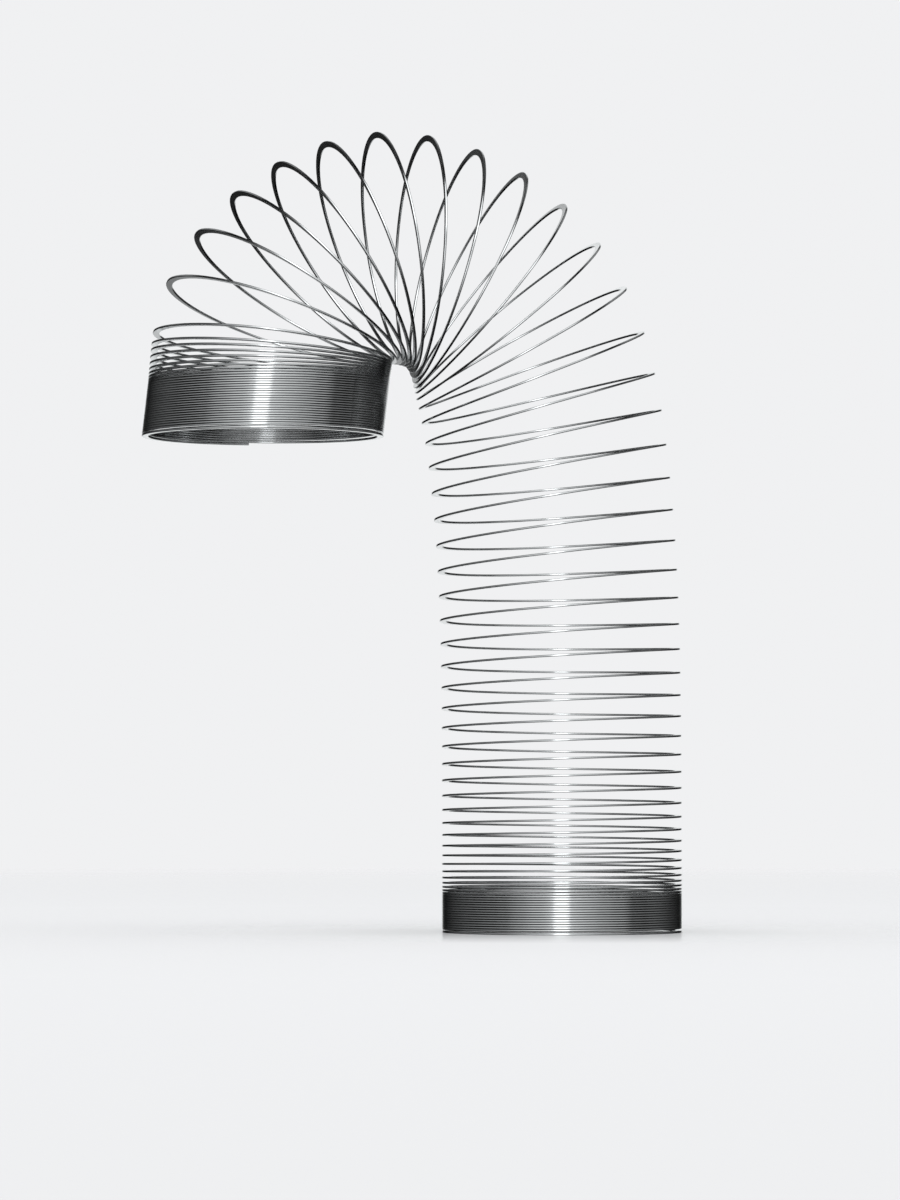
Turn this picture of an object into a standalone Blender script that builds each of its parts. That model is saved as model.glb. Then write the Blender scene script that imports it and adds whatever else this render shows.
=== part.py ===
"""Spring coil toy: one flat steel strip wound into a soft coil, draped over a step.

Frame: metres, +Z up. The origin is under the middle of the whole coil, level with the lower
stack's underside. The lower stack is at +X, and the arch leans over to the upper stack at -X.

The coil is described by its turn number u, counted from the lower end. Crests, the outermost
points of the turns, are at whole values of u; the throat, where the turns of the arch crowd
together, is at the half values. Each open turn is its own solid from throat to throat, centred
on its crest, and its joint carries it towards or away from the turn before it.
"""
import math

import bmesh
import bpy
from mathutils import Vector

MM = 0.001

# strip and coil
OUTER_DIAMETER = 70.0 * MM
STRIP_WIDTH = 1.9 * MM              # radial
STRIP_THICKNESS = 0.60 * MM         # along the coil
CLOSED_PITCH = 0.685 * MM           # turn to turn in a closed stack
LOWER_END = 0.25                    # turn number of the lower end, a quarter turn past a crest
LOWER_TOP = 17.62                   # where the turns start to open
LOWER_STACK_TOP = 19.5              # where the lower stack's solid ends
OPEN_TURNS = 41                     # turns between the stacks, each its own solid
UPPER_END = 90.25                   # turn number of the upper end
FOOT_TURN = 0.70                    # share of each end turn that lies flat
CUT_GAP = 0.30 * MM                 # clearance between one turn's end and the next one's start

# spacing of the open turns, with n counted from LOWER_TOP
COLUMN_PITCH = 8.84 * MM            # reached at the top of the column
RAMP_TURNS = 24.38                  # turns over which the coil's own weight opens the column
RAMP_CORNER = 0.86
SHOULDER_TURN = 30.97               # from here the turns lie against each other at the throat
SHOULDER_WIDTH = 0.61

# tilt of the turns: each term adds a rate in degrees a turn from its turn on, over its width
TILT_TERMS = ((2.34, 22.786, 3.17), (9.65, 28.126, 0.80), (4.58, 40.8, 0.72), (-15.27, 41.346, 0.21))
HALF_TURN = 180.0                   # past the arch the turns are upside down
HALF_TURN_CORNER = 1.6

# sag: how far the coil's direction of travel lags behind the tilt, as (degrees, turn, width)
SAG_TERMS = ((30.0, 35.62, 3.95), (-12.1, 35.51, 0.40), (-11.25, 40.57, 0.30))

# joints
HINGE_FROM_DEG = 0.55               # turns that bend less than this slide instead
NEST_CLEARANCE = 0.15 * MM          # left between two turns when they are pushed together

# resolution
STATIONS_PER_TURN = 20
STEPS_PER_STATION = 4               # integration steps of the centre line
TILT_STEP = 0.02                    # turns, for the tilt's rate of change

STRIP_RADIUS = (OUTER_DIAMETER - STRIP_WIDTH) / 2
UPPER_STACK_START = LOWER_STACK_TOP + OPEN_TURNS
FIRST_CREST = int(LOWER_STACK_TOP + 0.5)
STEPS_PER_TURN = STATIONS_PER_TURN * STEPS_PER_STATION


def soft_ramp(value):
    """0 for very negative values, the value itself for large ones."""
    return value + math.log1p(math.exp(-value)) if value > 0 else math.log1p(math.exp(value))


def soft_step(value):
    """0 for very negative values, 1 for large ones."""
    return 0.5 * (1 + math.tanh(value / 2))


def tilt(u):
    """Tilt of the turn at u in radians: 0 is level, pi is upside down."""
    n = u - LOWER_TOP
    turned = sum(rate * width * soft_ramp((n - turn) / width) for rate, turn, width in TILT_TERMS)
    left = soft_ramp((HALF_TURN - turned) / HALF_TURN_CORNER)
    return math.radians(HALF_TURN - HALF_TURN_CORNER * left)


def travel(u):
    """Direction in which the centre line leaves the turn at u, in radians from +Z."""
    n = u - LOWER_TOP
    sag = sum(size * soft_step((n - turn) / width) for size, turn, width in SAG_TERMS)
    return tilt(u) - math.radians(sag)


def pitch(u):
    """Length of the centre line over one turn at u."""
    n = u - LOWER_TOP
    rise = soft_ramp(n / RAMP_CORNER) - soft_ramp((n - RAMP_TURNS) / RAMP_CORNER)
    column = CLOSED_PITCH + (COLUMN_PITCH - CLOSED_PITCH) * rise * RAMP_CORNER / RAMP_TURNS
    tilt_rate = (tilt(u + TILT_STEP) - tilt(u - TILT_STEP)) / (2 * TILT_STEP)
    arch = CLOSED_PITCH + OUTER_DIAMETER / 2 * tilt_rate
    in_arch = soft_step((n - SHOULDER_TURN) / SHOULDER_WIDTH)
    return column * (1 - in_arch) + arch * in_arch


def centre_line():
    """Points (x, z) of the coil's centre line at every step, measured from the lower stack's axis."""
    x, z = 0.0, STRIP_THICKNESS / 2
    points = [(x, z)]
    for step in range(round((UPPER_END - LOWER_END) * STEPS_PER_TURN)):
        u = LOWER_END + (step + 0.5) / STEPS_PER_TURN
        advance = pitch(u) / STEPS_PER_TURN
        x -= math.sin(travel(u)) * advance
        z += math.cos(travel(u)) * advance
        points.append((x, z))
    return points


CENTRE_LINE = centre_line()


def foot_drop(distance):
    """How far an end turn is pressed towards its stack's foot, distance turns from the end."""
    if distance >= 1:
        return 0.0
    if distance <= FOOT_TURN:
        return CLOSED_PITCH * distance
    return CLOSED_PITCH * (distance - (distance - FOOT_TURN) / (1 - FOOT_TURN))


def centre(u):
    """Centre of the coil at u."""
    position = (u - LOWER_END) * STEPS_PER_TURN
    step = min(int(position), len(CENTRE_LINE) - 2)
    share = position - step
    x = CENTRE_LINE[step][0] * (1 - share) + CENTRE_LINE[step + 1][0] * share
    z = CENTRE_LINE[step][1] * (1 - share) + CENTRE_LINE[step + 1][1] * share
    z -= foot_drop(u - LOWER_END) + foot_drop(UPPER_END - u)
    return Vector((x, 0, z))


def outward(u):
    """Unit vector from the centre to the crest of the turn at u."""
    return Vector((math.cos(tilt(u)), 0, math.sin(tilt(u))))


def along(u):
    """Unit vector along the coil at u, square to the turn."""
    return Vector((-math.sin(tilt(u)), 0, math.cos(tilt(u))))


def strip_section(u):
    """The four corners of the strip's section at u."""
    angle = 2 * math.pi * u
    radial = outward(u) * math.cos(angle) + Vector((0, math.sin(angle), 0))
    middle = centre(u) + radial * STRIP_RADIUS
    half_width = radial * STRIP_WIDTH / 2
    half_thickness = along(u) * STRIP_THICKNESS / 2
    return (middle + half_width + half_thickness, middle - half_width + half_thickness,
            middle - half_width - half_thickness, middle + half_width - half_thickness)


def middle_of_coil():
    """The middle of the whole coil in x."""
    stations = round((UPPER_END - LOWER_END) * STATIONS_PER_TURN)
    reach = [corner.x for station in range(stations + 1)
             for corner in strip_section(LOWER_END + station / STATIONS_PER_TURN)]
    return (min(reach) + max(reach)) / 2


MIDDLE = middle_of_coil()
CENTRE_LINE = [(x - MIDDLE, z) for x, z in CENTRE_LINE]


def height_over_centre(crest, share, direction):
    """How far the strip is from its turn's centre along direction, share of a turn past the crest."""
    u = crest + share
    angle = 2 * math.pi * u
    radial = outward(u) * math.cos(angle) + Vector((0, math.sin(angle), 0))
    return (centre(u) + radial * STRIP_RADIUS - centre(crest)).dot(direction)


def nested_spacing(crest):
    """Spacing of the turn at crest from the one before it when the two are pushed together.

    A hinged turn ends parallel to the turn before it, and a sliding one keeps its own tilt.
    """
    before = along(crest - 1)
    own = along(crest) if is_hinge(crest) else before
    shares = [index / STATIONS_PER_TURN - 0.5 for index in range(STATIONS_PER_TURN + 1)]
    overlap = max(height_over_centre(crest - 1, share, before) - height_over_centre(crest, share, own)
                  for share in shares)
    return overlap + STRIP_THICKNESS + NEST_CLEARANCE


def nested_centre(crest):
    """Where the turn's centre goes when it is pushed against the turn before it."""
    step = centre(crest) - centre(crest - 1)
    spacing = nested_spacing(crest)
    return centre(crest - 1) + step * spacing / step.dot(along(crest - 1))


def bend_angle(crest):
    """Bend between the turn at crest and the one before it, in radians."""
    return tilt(crest) - tilt(crest - 1)


def is_hinge(crest):
    return bend_angle(crest) >= math.radians(HINGE_FROM_DEG)


def hinge_point(crest):
    """The fixed point of the motion that lays a turn flat against the turn before it."""
    bend = bend_angle(crest)
    start = centre(crest)
    end = nested_centre(crest)
    half_chord = (end - start) / 2
    square = Vector((half_chord.z, 0, -half_chord.x))
    return start + half_chord + square / math.tan(bend / 2)


def joint_origin(crest):
    return hinge_point(crest) if is_hinge(crest) else centre(crest)


def clear_scene():
    for item in list(bpy.data.objects):
        bpy.data.objects.remove(item, do_unlink=True)


def polished_steel():
    material = bpy.data.materials.new("polished_spring_steel")
    material.use_nodes = True
    shader = material.node_tree.nodes["Principled BSDF"]
    shader.inputs["Base Color"].default_value = (0.62, 0.63, 0.64, 1)
    shader.inputs["Metallic"].default_value = 1.0
    shader.inputs["Roughness"].default_value = 0.22
    return material


def strip_solid(name, start, end, origin, material):
    """Sweep the strip's section from turn start to turn end as one closed solid."""
    stations = round((end - start) * STATIONS_PER_TURN)
    mesh = bmesh.new()
    ring = [mesh.verts.new(corner - origin) for corner in strip_section(start)]
    mesh.faces.new(ring)
    edges = [mesh.edges.get((ring[i], ring[(i + 1) % 4])) for i in range(4)]
    for station in range(1, stations + 1):
        swept = bmesh.ops.extrude_edge_only(mesh, edges=edges)["geom"]
        edges_next = [item for item in swept if isinstance(item, bmesh.types.BMEdge)
                      and all(vert in swept for vert in item.verts)]
        moved = {}
        for edge in edges:
            for vert in edge.verts:
                for link in vert.link_edges:
                    other = link.other_vert(vert)
                    if other in swept:
                        moved[vert] = other
        ring = [moved[vert] for vert in ring]
        corners = strip_section(start + (end - start) * station / stations)
        for vert, corner in zip(ring, corners):
            vert.co = corner - origin
        edges = [edge for edge in edges_next if all(vert in ring for vert in edge.verts)]
    mesh.faces.new(ring)
    bmesh.ops.recalc_face_normals(mesh, faces=mesh.faces)
    data = bpy.data.meshes.new(name)
    mesh.to_mesh(data)
    mesh.free()
    data.shade_smooth()
    data.set_sharp_from_angle(angle=math.radians(40))
    data.materials.append(material)
    solid = bpy.data.objects.new(name, data)
    solid.location = origin
    bpy.context.collection.objects.link(solid)
    return solid


def build():
    clear_scene()
    steel = polished_steel()
    half_gap = CUT_GAP / 2 / (2 * math.pi * STRIP_RADIUS)
    strip_solid("lower_stack", LOWER_END, LOWER_STACK_TOP - half_gap, Vector((0, 0, 0)), steel)
    for number in range(1, OPEN_TURNS + 1):
        crest = FIRST_CREST + number - 1
        strip_solid(f"turn_{number:02d}", crest - 0.5 + half_gap, crest + 0.5 - half_gap,
                    joint_origin(crest), steel)
    strip_solid("upper_stack", UPPER_STACK_START + half_gap, UPPER_END,
                joint_origin(FIRST_CREST + OPEN_TURNS), steel)


build()
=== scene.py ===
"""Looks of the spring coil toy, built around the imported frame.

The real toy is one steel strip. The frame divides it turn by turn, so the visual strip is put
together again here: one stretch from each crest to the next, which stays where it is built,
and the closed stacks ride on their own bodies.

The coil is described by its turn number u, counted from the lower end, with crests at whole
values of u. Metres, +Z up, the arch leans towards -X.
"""
import math

import bpy
import numpy as np
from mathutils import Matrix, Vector


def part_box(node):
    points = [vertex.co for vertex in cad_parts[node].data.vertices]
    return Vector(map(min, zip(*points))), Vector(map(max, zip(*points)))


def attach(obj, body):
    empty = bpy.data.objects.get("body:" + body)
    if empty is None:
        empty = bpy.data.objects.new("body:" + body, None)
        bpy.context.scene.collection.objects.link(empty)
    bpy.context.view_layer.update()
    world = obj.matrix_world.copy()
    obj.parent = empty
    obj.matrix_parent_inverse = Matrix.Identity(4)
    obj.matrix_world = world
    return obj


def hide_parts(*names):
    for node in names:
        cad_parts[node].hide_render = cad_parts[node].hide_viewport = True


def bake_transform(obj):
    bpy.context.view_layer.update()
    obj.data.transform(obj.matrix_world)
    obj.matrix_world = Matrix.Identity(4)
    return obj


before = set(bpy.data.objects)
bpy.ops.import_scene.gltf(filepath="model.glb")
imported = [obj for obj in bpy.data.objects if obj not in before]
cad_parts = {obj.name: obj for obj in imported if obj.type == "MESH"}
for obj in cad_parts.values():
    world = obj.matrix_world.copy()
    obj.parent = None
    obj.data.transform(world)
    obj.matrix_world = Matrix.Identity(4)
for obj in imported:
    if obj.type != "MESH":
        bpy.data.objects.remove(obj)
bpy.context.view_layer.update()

MM = 0.001
TURN = 2 * math.pi

# ---- the coil, in the same terms as the frame's own design -----------------------------------
stack_low, stack_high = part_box("lower_stack")
OUTER_DIAMETER = stack_high.y - stack_low.y
STACK_AXIS = (stack_low.x + stack_high.x) / 2   # x of the lower stack's axis
STRIP_WIDTH = 1.9 * MM              # radial
STRIP_THICKNESS = 0.60 * MM         # along the coil
CLOSED_PITCH = 0.685 * MM           # turn to turn in a closed stack
LOWER_END = 0.25
LOWER_TOP = 17.62                   # where the turns start to open
FIRST_CREST = 20                    # crest of turn_01
UPPER_END = 90.25
FOOT_TURN = 0.70                    # share of each end turn that lies flat

# spacing of the open turns, with n counted from LOWER_TOP
COLUMN_PITCH = 8.84 * MM
RAMP_TURNS = 24.38
RAMP_CORNER = 0.86
SHOULDER_TURN = 30.97
SHOULDER_WIDTH = 0.61

# tilt: each term adds a rate in degrees a turn from its turn on, over its width
TILT_TERMS = ((2.34, 22.786, 3.17), (9.65, 28.126, 0.80), (4.58, 40.8, 0.72), (-15.27, 41.346, 0.21))
HALF_TURN = 180.0
HALF_TURN_CORNER = 1.6

# sag of the direction of travel behind the tilt, as (degrees, turn, width)
SAG_TERMS = ((30.0, 35.62, 3.95), (-12.1, 35.51, 0.40), (-11.25, 40.57, 0.30))

STEPS_PER_TURN = 80                 # integration steps of the centre line
TILT_STEP = 0.02                    # turns, for the tilt's rate of change
STRIP_RADIUS = (OUTER_DIAMETER - STRIP_WIDTH) / 2

# ---- resolution of the visual strip ----------------------------------------------------------
STATIONS_PER_TURN = 72
SEAM_STATION = 0.0006               # turns; a first thin slice that keeps the shading whole
CORNER_POINTS = 4                   # over each rounded corner of the section
CORNER_RADIUS = 0.15 * MM
FLAT_SUPPORT = 0.10 * MM            # how far inside the flat its own shading begins
SHARP_ANGLE = math.radians(60)      # steeper edges are shaded sharp: the strip's two ends
SNUG_THICKNESS = 0.675 * MM         # in the closed stacks the turns hide every gap between them
SNUG_BELOW = 0.70 * MM              # spacing at which the turns are closed
OPEN_ABOVE = 0.80 * MM              # spacing at which the strip has its own thickness

# ---- the steel's finish and the painted shade in its corners; noise scales are waves a metre along, across and through the strip ----
ROLLING_LINES = (45, 9000, 9000)
POLISH_CLOUDS = (70, 300, 300)
BRIGHT_PATCHES = (9, 40, 40)
DARK_SPECKS = (2600, 2600, 2600)
NOISE_RANGE = (0.3, 0.7)            # most of a noise's values
LINE_DEPTH = 0.01 * MM
RUBBED_FROM = STRIP_WIDTH * 0.36    # from the middle of the strip, where the edges get brighter
# painted shade: the section's rounded corners are darkened, standing for the shade in the grooves
# between neighbouring turns
CORNER_SHADE_ACROSS = (STRIP_WIDTH * 0.43, STRIP_WIDTH * 0.46)
CORNER_SHADE_THROUGH = (STRIP_THICKNESS * 0.27, STRIP_THICKNESS * 0.36)
CORNER_SHADE_TONE = 0.10                    # of the steel's brightness left in its corners, as painted shade of the gaps between the turns
STEEL_TINT = (0.985, 1.0, 1.01)


def soft_ramp(value):
    """0 for very negative values, the value itself for large ones."""
    return np.logaddexp(0, value)


def soft_step(value):
    """0 for very negative values, 1 for large ones."""
    return 0.5 * (1 + np.tanh(value / 2))


def tilt(u):
    """Tilt of the turn at u in radians: 0 is level, pi is upside down."""
    n = u - LOWER_TOP
    turned = sum(rate * width * soft_ramp((n - turn) / width) for rate, turn, width in TILT_TERMS)
    left = soft_ramp((HALF_TURN - turned) / HALF_TURN_CORNER)
    return np.radians(HALF_TURN - HALF_TURN_CORNER * left)


def travel(u):
    """Direction in which the centre line leaves the turn at u, in radians from +Z."""
    n = u - LOWER_TOP
    sag = sum(size * soft_step((n - turn) / width) for size, turn, width in SAG_TERMS)
    return tilt(u) - np.radians(sag)


def pitch(u):
    """Length of the centre line over one turn at u."""
    n = u - LOWER_TOP
    rise = soft_ramp(n / RAMP_CORNER) - soft_ramp((n - RAMP_TURNS) / RAMP_CORNER)
    column = CLOSED_PITCH + (COLUMN_PITCH - CLOSED_PITCH) * rise * RAMP_CORNER / RAMP_TURNS
    tilt_rate = (tilt(u + TILT_STEP) - tilt(u - TILT_STEP)) / (2 * TILT_STEP)
    arch = CLOSED_PITCH + OUTER_DIAMETER / 2 * tilt_rate
    in_arch = soft_step((n - SHOULDER_TURN) / SHOULDER_WIDTH)
    return column * (1 - in_arch) + arch * in_arch


def centre_line():
    """Turn numbers of the integration steps, and the centre line's x and z there."""
    steps = round((UPPER_END - LOWER_END) * STEPS_PER_TURN)
    u = LOWER_END + np.arange(steps + 1) / STEPS_PER_TURN
    middle = u[:-1] + 0.5 / STEPS_PER_TURN
    advance = pitch(middle) / STEPS_PER_TURN
    x = STACK_AXIS + np.concatenate([[0], np.cumsum(-np.sin(travel(middle)) * advance)])
    z = STRIP_THICKNESS / 2 + np.concatenate([[0], np.cumsum(np.cos(travel(middle)) * advance)])
    return u, x, z


CENTRE_U, CENTRE_X, CENTRE_Z = centre_line()


def foot_drop(distance):
    """How far an end turn is pressed towards its stack's foot, distance turns from the end."""
    eased = distance - np.clip((distance - FOOT_TURN) / (1 - FOOT_TURN), 0, None)
    return np.where(distance < 1, CLOSED_PITCH * eased, 0)


def strip_frame(u):
    """Middle of the strip, outward direction and direction along the coil, one row for each u."""
    lean, angle, zero = tilt(u), TURN * u, np.zeros_like(u)
    drop = foot_drop(u - LOWER_END) + foot_drop(UPPER_END - u)
    x = np.interp(u, CENTRE_U, CENTRE_X)
    z = np.interp(u, CENTRE_U, CENTRE_Z) - drop
    radial = np.stack([np.cos(lean) * np.cos(angle), np.sin(angle), np.sin(lean) * np.cos(angle)], 1)
    along = np.stack([-np.sin(lean), zero, np.cos(lean)], 1)
    return np.stack([x, zero, z], 1) + radial * STRIP_RADIUS, radial, along


def strip_outline():
    """The strip's section as points (across, thick): flat faces and edges with rounded corners."""
    reach = STRIP_WIDTH / 2 - CORNER_RADIUS
    rise = STRIP_THICKNESS / 2 - CORNER_RADIUS
    points = []
    for side in (1, -1):
        for corner in (-1, 1):
            for index in range(CORNER_POINTS):
                angle = math.pi / 2 * (index / (CORNER_POINTS - 1) + (corner - 1) / 2)
                across = reach + CORNER_RADIUS * math.cos(angle)
                thick = corner * rise + CORNER_RADIUS * math.sin(angle)
                points.append((side * across, side * thick))
        support = reach - FLAT_SUPPORT
        points.append((side * support, side * STRIP_THICKNESS / 2))
        points.append((-side * support, side * STRIP_THICKNESS / 2))
    return np.array(points)


def stations(start, end):
    """Turn numbers of the sections from start to end, with a thin slice at both ends."""
    count = max(1, round((end - start) * STATIONS_PER_TURN))
    inner = np.linspace(start, end, count + 1)
    return np.concatenate([[start, start + SEAM_STATION], inner[1:-1], [end - SEAM_STATION, end]])


def strip_piece(name, start, end, material):
    """One closed stretch of the strip, with its place along and across the strip kept per point."""
    u = stations(start, end)
    middle, radial, along = strip_frame(u)
    outline = strip_outline()
    across, thick = outline[:, 0], outline[:, 1]
    closed = np.clip((OPEN_ABOVE - pitch(u)) / (OPEN_ABOVE - SNUG_BELOW), 0, 1)
    fill = 1 + (SNUG_THICKNESS / STRIP_THICKNESS - 1) * closed
    points = (middle[:, None] + radial[:, None] * across[None, :, None]
              + along[:, None] * (fill[:, None] * thick[None, :])[:, :, None])
    rows, ring = len(u), len(outline)
    first = np.arange(ring)
    second = np.roll(first, -1)
    base = (np.arange(rows - 1) * ring)[:, None]
    quads = np.stack([base + first, base + second, base + ring + second, base + ring + first], -1)
    faces = quads.reshape(-1, 4).tolist()
    faces.append(first[::-1].tolist())
    faces.append((first + (rows - 1) * ring).tolist())
    mesh = bpy.data.meshes.new(name)
    mesh.from_pydata(points.reshape(-1, 3).tolist(), [], faces)
    mesh.shade_smooth()
    mesh.set_sharp_from_angle(angle=SHARP_ANGLE)
    place = mesh.attributes.new("strip_place", "FLOAT_VECTOR", "POINT")
    run = np.repeat(u * TURN * STRIP_RADIUS, ring)
    values = np.stack([run, np.tile(across, rows), np.tile(thick, rows)], 1)
    place.data.foreach_set("vector", values.astype(np.float32).ravel())
    mesh.materials.append(material)
    mesh.validate()
    piece = bpy.data.objects.new(name, mesh)
    bpy.context.collection.objects.link(piece)
    return piece, np.repeat(u, ring)


def bend_with(piece):
    """Bakes the stretch's placement into its mesh; it does not follow the turns that it joins."""
    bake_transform(piece)


def node(tree, kind, **properties):
    """A new node with these properties."""
    made = tree.nodes.new(kind)
    for key, value in properties.items():
        setattr(made, key, value)
    return made


def math_node(tree, operation, a, b=None):
    """Output of a math node on one or two numbers or sockets."""
    made = node(tree, "ShaderNodeMath", operation=operation)
    for socket, value in zip(made.inputs, (a, b)):
        if value is None:
            continue
        if isinstance(value, (int, float)):
            socket.default_value = value
        else:
            tree.links.new(value, socket)
    return made.outputs[0]


def remap(tree, value, low, high, to_low, to_high):
    """The value's range from low to high, brought to the range from to_low to to_high."""
    made = node(tree, "ShaderNodeMapRange")
    tree.links.new(value, made.inputs["Value"])
    for name, number in (("From Min", low), ("From Max", high), ("To Min", to_low), ("To Max", to_high)):
        made.inputs[name].default_value = number
    return made.outputs["Result"]


def spread(tree, noise, to_low, to_high):
    """Noise brought to the range from to_low to to_high."""
    return remap(tree, noise, *NOISE_RANGE, to_low, to_high)


def strip_noise(tree, place, scale, detail=3.0, roughness=0.55):
    """Noise in the strip's own coordinates, scale being waves a metre along, across and through."""
    stretch = node(tree, "ShaderNodeMapping")
    stretch.inputs["Scale"].default_value = scale
    tree.links.new(place, stretch.inputs["Vector"])
    noise = node(tree, "ShaderNodeTexNoise")
    noise.inputs["Scale"].default_value = 1.0
    noise.inputs["Detail"].default_value = detail
    noise.inputs["Roughness"].default_value = roughness
    tree.links.new(stretch.outputs["Vector"], noise.inputs["Vector"])
    return noise.outputs["Fac"]


def spring_steel():
    """Bright rolled steel: lines along the strip, cloudy polish, bright worn edges, painted shade in the
    corners.
    """
    material = bpy.data.materials.new("bright_rolled_steel")
    material.use_nodes = True
    tree = material.node_tree
    shader = tree.nodes["Principled BSDF"]
    place = node(tree, "ShaderNodeAttribute", attribute_name="strip_place").outputs["Vector"]
    split = node(tree, "ShaderNodeSeparateXYZ")
    tree.links.new(place, split.inputs["Vector"])
    lines = strip_noise(tree, place, ROLLING_LINES, detail=2.0)
    clouds = strip_noise(tree, place, POLISH_CLOUDS)
    patches = strip_noise(tree, place, BRIGHT_PATCHES)
    specks = strip_noise(tree, place, DARK_SPECKS, detail=1.0)
    across = math_node(tree, "ABSOLUTE", split.outputs["Y"])
    through = math_node(tree, "ABSOLUTE", split.outputs["Z"])
    rubbed = remap(tree, across, RUBBED_FROM, STRIP_WIDTH / 2, 0.0, 1.0)
    # painted shade: a mask of the section's corners, where neighbouring turns would shade the strip
    corner_shade = math_node(tree, "MULTIPLY", remap(tree, through, *CORNER_SHADE_THROUGH, 0.0, 1.0),
                     remap(tree, across, *CORNER_SHADE_ACROSS, 0.0, 1.0))

    tone = math_node(tree, "ADD", spread(tree, patches, 0.60, 0.70), spread(tree, clouds, -0.025, 0.025))
    tone = math_node(tree, "ADD", tone, spread(tree, lines, -0.03, 0.03))
    tone = math_node(tree, "ADD", tone, math_node(tree, "MULTIPLY", rubbed, 0.05))
    tone = math_node(tree, "SUBTRACT", tone, remap(tree, specks, 0.70, 0.80, 0.0, 0.06))
    # the corners darkened with painted shade, on every turn
    tone = math_node(tree, "MULTIPLY", tone, remap(tree, corner_shade, 0.0, 1.0, 1.0, CORNER_SHADE_TONE))
    tint = node(tree, "ShaderNodeCombineColor")
    for name, share in zip(("Red", "Green", "Blue"), STEEL_TINT):
        tree.links.new(math_node(tree, "MULTIPLY", tone, share), tint.inputs[name])
    tree.links.new(tint.outputs["Color"], shader.inputs["Base Color"])

    dull = math_node(tree, "ADD", spread(tree, clouds, 0.10, 0.17), spread(tree, lines, -0.03, 0.05))
    dull = math_node(tree, "SUBTRACT", dull, math_node(tree, "MULTIPLY", rubbed, 0.03))
    tree.links.new(dull, shader.inputs["Roughness"])
    shader.inputs["Metallic"].default_value = 1.0

    bump = node(tree, "ShaderNodeBump")
    bump.inputs["Strength"].default_value = 0.06
    bump.inputs["Distance"].default_value = LINE_DEPTH
    tree.links.new(lines, bump.inputs["Height"])
    tree.links.new(bump.outputs["Normal"], shader.inputs["Normal"])
    return material


def build_strip(material):
    """The whole strip: both stacks, and one stretch for each joint."""
    turns = sorted(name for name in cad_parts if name.startswith("turn_"))
    last_crest = FIRST_CREST + len(turns)
    lower, _ = strip_piece("strip_lower_stack", LOWER_END, FIRST_CREST - 1, material)
    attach(lower, "lower_stack")
    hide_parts("lower_stack")
    for crest, child in enumerate(turns + ["upper_stack"], FIRST_CREST):
        name = f"strip_{child}" if child in turns else "strip_landing"
        piece, u_of_points = strip_piece(name, crest - 1, crest, material)
        bend_with(piece)
        if child in turns:
            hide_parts(child)
    upper, _ = strip_piece("strip_upper_stack", last_crest, UPPER_END, material)
    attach(upper, "upper_stack")
    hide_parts("upper_stack")


# ---- studio ----------------------------------------------------------------------------------
CAMERA_AZIMUTH = math.radians(-10.5)    # round from straight in front, negative towards -X
CAMERA_DISTANCE = 1.451             # from the lower stack's axis
CAMERA_HEIGHT = 0.0362              # above the floor
AIM_LEFT = 0.0326                   # the picture's centre, left of the lower stack's axis
AIM_HEIGHT = 0.0968
FRAME_HEIGHT = 0.35                 # what the picture shows from bottom to top at the stack
SENSOR = 36.0                       # mm, along the picture's longer side

PALE = (0.873, 0.877, 0.888)        # what the camera sees behind the object
STUDIO_TINT = (0.975, 0.995, 1.0)   # of everything that the steel mirrors
# what the steel mirrors at eye level, by degrees round from the camera towards its right
STUDIO_RING = ((-180, 0.95), (-173, 0.95), (-170, 0.85), (-167, 0.55), (-163, 0.04), (-150, 0.01),
               (-120, 0.01), (-90, 0.02), (-66, 0.04), (-55, 0.12), (-42, 0.46), (-28, 0.72),
               (-16, 0.82), (-9, 1.0), (-6, 2.3), (5, 2.3), (8, 0.95), (20, 0.72), (32, 0.56),
               (44, 0.38), (57, 0.22), (71, 0.08), (84, 0.02), (98, 0.04), (112, 0.03), (128, 0.01),
               (150, 0.01), (163, 0.04), (167, 0.55), (170, 0.85), (173, 0.95), (180, 0.95))
# the share of it by degrees above eye level, as in every _BY_HEIGHT below
RING_BY_HEIGHT = ((-90, 0.02), (-60, 0.02), (-38, 0.05), (-28, 0.15), (-15, 0.45), (-6, 1.0),
                  (20, 1.0), (35, 0.5), (60, 0.20), (75, 0.04), (90, 0.04))
# a narrow band at eye level on both sides, which only level turns mirror
BAND_BY_SIDE = ((-180, 0.0), (-150, 0.0), (-135, 0.03), (-115, 0.09), (-95, 0.16), (-75, 0.26),
                (-60, 0.32), (-48, 0.20), (-38, 0.0), (38, 0.0), (50, 0.22), (60, 0.36), (66, 0.26),
                (71, 0.12), (78, 0.18), (95, 0.15), (115, 0.08), (135, 0.03), (150, 0.0), (180, 0.0))
BAND_BY_HEIGHT = ((-90, 0.0), (-9, 0.0), (-6, 1.0), (7, 1.0), (10, 0.0), (90, 0.0))
# pale walls above eye level, behind the object on both sides
WALL_BY_SIDE = ((-180, 0.0), (-162, 0.0), (-148, 0.30), (-112, 0.30), (-95, 0.0), (95, 0.0),
                (112, 0.30), (148, 0.30), (162, 0.0), (180, 0.0))
WALL_BY_HEIGHT = ((-90, 0.0), (12, 0.0), (22, 1.0), (46, 1.0), (60, 0.3), (80, 0.2), (90, 0.2))
# a soft light above the camera and to its right
UPPER_BY_SIDE = ((-180, 0.0), (-22, 0.0), (-12, 1.5), (46, 1.5), (58, 0.0), (180, 0.0))
UPPER_BY_HEIGHT = ((-90, 0.0), (16, 0.0), (26, 1.0), (62, 1.0), (72, 0.0), (90, 0.0))
STUDIO_PARTS = ((STUDIO_RING, RING_BY_HEIGHT), (BAND_BY_SIDE, BAND_BY_HEIGHT),
                (WALL_BY_SIDE, WALL_BY_HEIGHT), (UPPER_BY_SIDE, UPPER_BY_HEIGHT))

LIGHT_PLACE = (0.0, -0.3, 1.6)
LIGHT_SIZE = 1.6
LIGHT_POWER = 5

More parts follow.
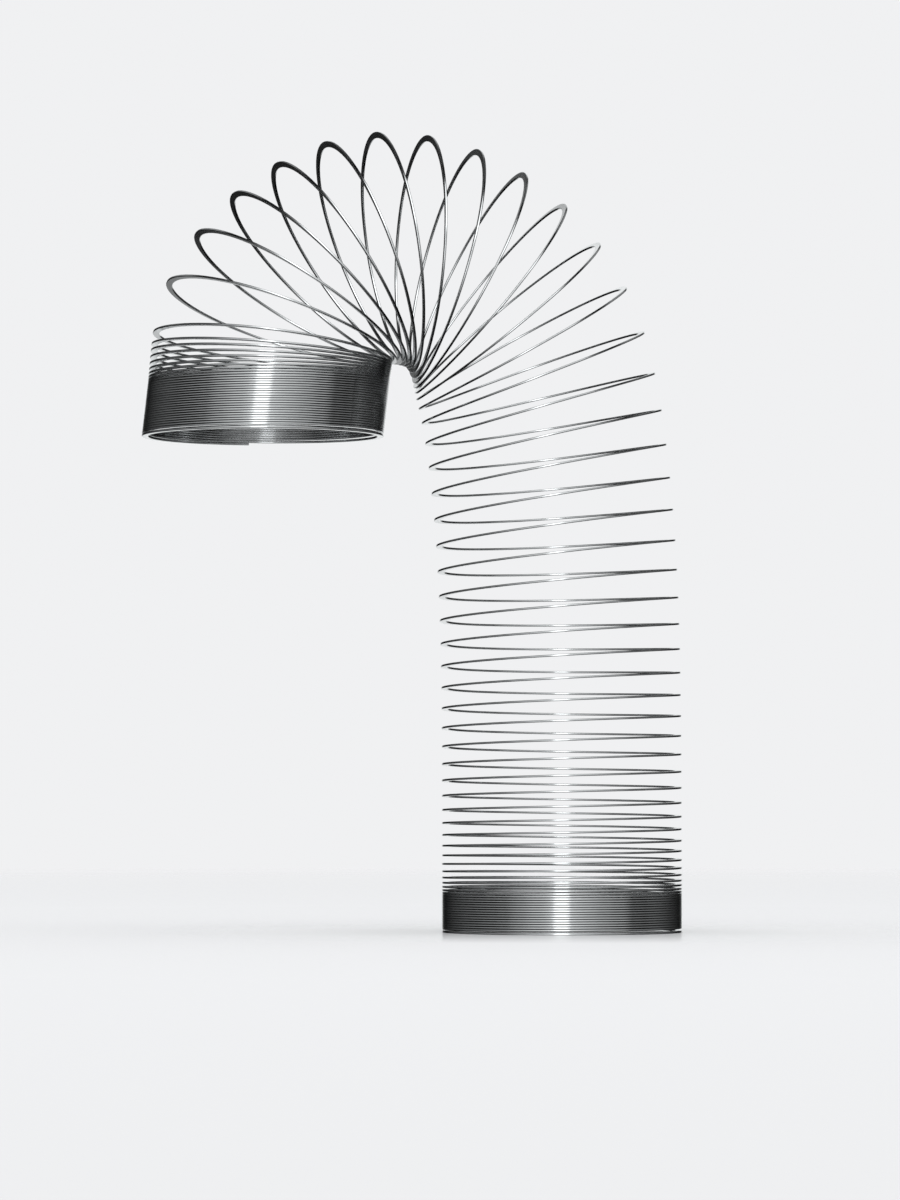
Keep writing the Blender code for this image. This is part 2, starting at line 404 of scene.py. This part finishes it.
FLOOR_TONE = (0.86, 0.865, 0.87, 1)
FLOOR_RADIUS = 1.6
FLOOR_RINGS = 24                    # closer together near the middle
FLOOR_SIDES = 96
FLOOR_FADE = (FLOOR_RADIUS * 0.25, FLOOR_RADIUS * 0.98)     # from solid to clear
FLOOR_POLISH = (OUTER_DIAMETER / 2, 0.12)   # from polished, at the stack's wall, to matt
FLOOR_SHINE = 0.6                   # share of the polished look at the stack's wall


def by_angle(tree, share, stops, span):
    """Brightness by angle over span degrees; a colour ramp holds 32 stops."""
    ramp = node(tree, "ShaderNodeValToRGB")
    elements = ramp.color_ramp.elements
    peak = max(level for _, level in stops)
    while len(elements) < len(stops):
        elements.new(0.5)
    for element, (degrees, level) in zip(elements, stops):
        element.position = degrees / span + 0.5
        element.color = (level / peak, level / peak, level / peak, 1)
    tree.links.new(share, ramp.inputs["Fac"])
    return math_node(tree, "MULTIPLY", ramp.outputs["Color"], peak)


def mix_shaders(tree, share, first, second):
    """A mix that goes from the first shader to the second as the share goes from 0 to 1."""
    mix = node(tree, "ShaderNodeMixShader")
    tree.links.new(share, mix.inputs["Fac"])
    tree.links.new(first.outputs[0], mix.inputs[1])
    tree.links.new(second.outputs[0], mix.inputs[2])
    return mix


def mirrored_studio(tree):
    """Brightness of the studio in the direction that the steel mirrors."""
    look = node(tree, "ShaderNodeTexCoord").outputs["Generated"]
    turned = node(tree, "ShaderNodeVectorRotate", rotation_type="Z_AXIS")
    turned.inputs["Angle"].default_value = -CAMERA_AZIMUTH
    tree.links.new(look, turned.inputs["Vector"])
    split = node(tree, "ShaderNodeSeparateXYZ")
    tree.links.new(turned.outputs["Vector"], split.inputs["Vector"])
    away = math_node(tree, "MULTIPLY", split.outputs["Y"], -1.0)
    side = math_node(tree, "ARCTAN2", split.outputs["X"], away)
    side = math_node(tree, "ADD", math_node(tree, "DIVIDE", side, TURN), 0.5)
    height = math_node(tree, "ARCSINE", split.outputs["Z"])
    height = math_node(tree, "ADD", math_node(tree, "DIVIDE", height, TURN / 2), 0.5)
    total = 0.0
    for side_stops, height_stops in STUDIO_PARTS:
        part = math_node(tree, "MULTIPLY", by_angle(tree, side, side_stops, 360),
                         by_angle(tree, height, height_stops, 180))
        total = math_node(tree, "ADD", part, total)
    return total


def studio_world():
    """A pale room to the camera and the floor; to the steel, soft lights in a darker room."""
    world = bpy.data.worlds.new("studio")
    bpy.context.scene.world = world
    world.use_nodes = True
    tree = world.node_tree
    tree.nodes.clear()
    mirrored = node(tree, "ShaderNodeBackground")
    mirrored.inputs["Color"].default_value = (*STUDIO_TINT, 1)
    tree.links.new(mirrored_studio(tree), mirrored.inputs["Strength"])
    seen = node(tree, "ShaderNodeBackground")
    seen.inputs["Color"].default_value = (*PALE, 1)
    path = node(tree, "ShaderNodeLightPath")
    output = node(tree, "ShaderNodeOutputWorld")
    mixed = mix_shaders(tree, path.outputs["Is Glossy Ray"], seen, mirrored)
    tree.links.new(mixed.outputs["Shader"], output.inputs["Surface"])


def floor_mesh():
    """A round disc about the origin."""
    mesh = bpy.data.meshes.new("floor")
    points = [(0.0, 0.0, 0.0)]
    faces = []
    for ring in range(1, FLOOR_RINGS + 1):
        reach = FLOOR_RADIUS * (ring / FLOOR_RINGS) ** 1.5
        for side in range(FLOOR_SIDES):
            angle = TURN * side / FLOOR_SIDES
            points.append((reach * math.cos(angle), reach * math.sin(angle), 0.0))
    for side in range(FLOOR_SIDES):
        following = (side + 1) % FLOOR_SIDES
        faces.append((0, 1 + side, 1 + following))
        for ring in range(FLOOR_RINGS - 1):
            inner, outer = 1 + ring * FLOOR_SIDES, 1 + (ring + 1) * FLOOR_SIDES
            faces.append((inner + side, outer + side, outer + following, inner + following))
    mesh.from_pydata(points, [], faces)
    return mesh


def floor_material():
    """Matt and pale, softly polished around the stack, and clear towards the rim."""
    material = bpy.data.materials.new("floor")
    material.use_nodes = True
    tree = material.node_tree
    polished = tree.nodes["Principled BSDF"]
    polished.inputs["Base Color"].default_value = FLOOR_TONE
    polished.inputs["Roughness"].default_value = 0.14
    matt = node(tree, "ShaderNodeBsdfDiffuse")
    matt.inputs["Color"].default_value = FLOOR_TONE
    clear = node(tree, "ShaderNodeBsdfTransparent")
    length = node(tree, "ShaderNodeVectorMath", operation="LENGTH")
    tree.links.new(node(tree, "ShaderNodeTexCoord").outputs["Object"], length.inputs[0])
    shine = remap(tree, length.outputs["Value"], *FLOOR_POLISH, FLOOR_SHINE, 0.0)
    solid = remap(tree, length.outputs["Value"], *FLOOR_FADE, 1.0, 0.0)
    top = mix_shaders(tree, shine, matt, polished)
    faded = mix_shaders(tree, solid, clear, top)
    tree.links.new(faded.outputs["Shader"], tree.nodes["Material Output"].inputs["Surface"])
    return material


def pale_floor():
    """A round pale table top that fades into the background; the steel doesn't mirror it."""
    mesh = floor_mesh()
    mesh.materials.append(floor_material())
    floor = bpy.data.objects.new("floor", mesh)
    bpy.context.collection.objects.link(floor)
    floor.location = (STACK_AXIS, 0, 0)
    floor.visible_glossy = False


def overhead_light():
    """Soft light from above, for the floor and its shadows; the steel doesn't mirror it."""
    data = bpy.data.lights.new("overhead", "AREA")
    data.shape = "RECTANGLE"
    data.size = data.size_y = LIGHT_SIZE
    data.energy = LIGHT_POWER
    lamp = bpy.data.objects.new("overhead", data)
    lamp.location = LIGHT_PLACE
    lamp.rotation_euler = (-lamp.location).to_track_quat("-Z", "Y").to_euler()
    lamp.visible_glossy = False
    bpy.context.collection.objects.link(lamp)


def camera():
    """The camera stands low in front and is aimed between the two stacks."""
    data = bpy.data.cameras.new("camera")
    data.sensor_width = SENSOR
    data.lens = SENSOR * CAMERA_DISTANCE / FRAME_HEIGHT
    made = bpy.data.objects.new("camera", data)
    bpy.context.collection.objects.link(made)
    right = Vector((math.cos(CAMERA_AZIMUTH), math.sin(CAMERA_AZIMUTH), 0))
    toward = Vector((math.sin(CAMERA_AZIMUTH), -math.cos(CAMERA_AZIMUTH), 0))
    stack = Vector((STACK_AXIS, 0, 0))
    made.location = stack + toward * CAMERA_DISTANCE + Vector((0, 0, CAMERA_HEIGHT))
    aim = stack - right * AIM_LEFT + Vector((0, 0, AIM_HEIGHT))
    made.rotation_euler = (aim - made.location).to_track_quat("-Z", "Y").to_euler()
    bpy.context.scene.camera = made


build_strip(spring_steel())
studio_world()
pale_floor()
overhead_light()
camera()
bpy.context.scene.view_settings.view_transform = "Standard"
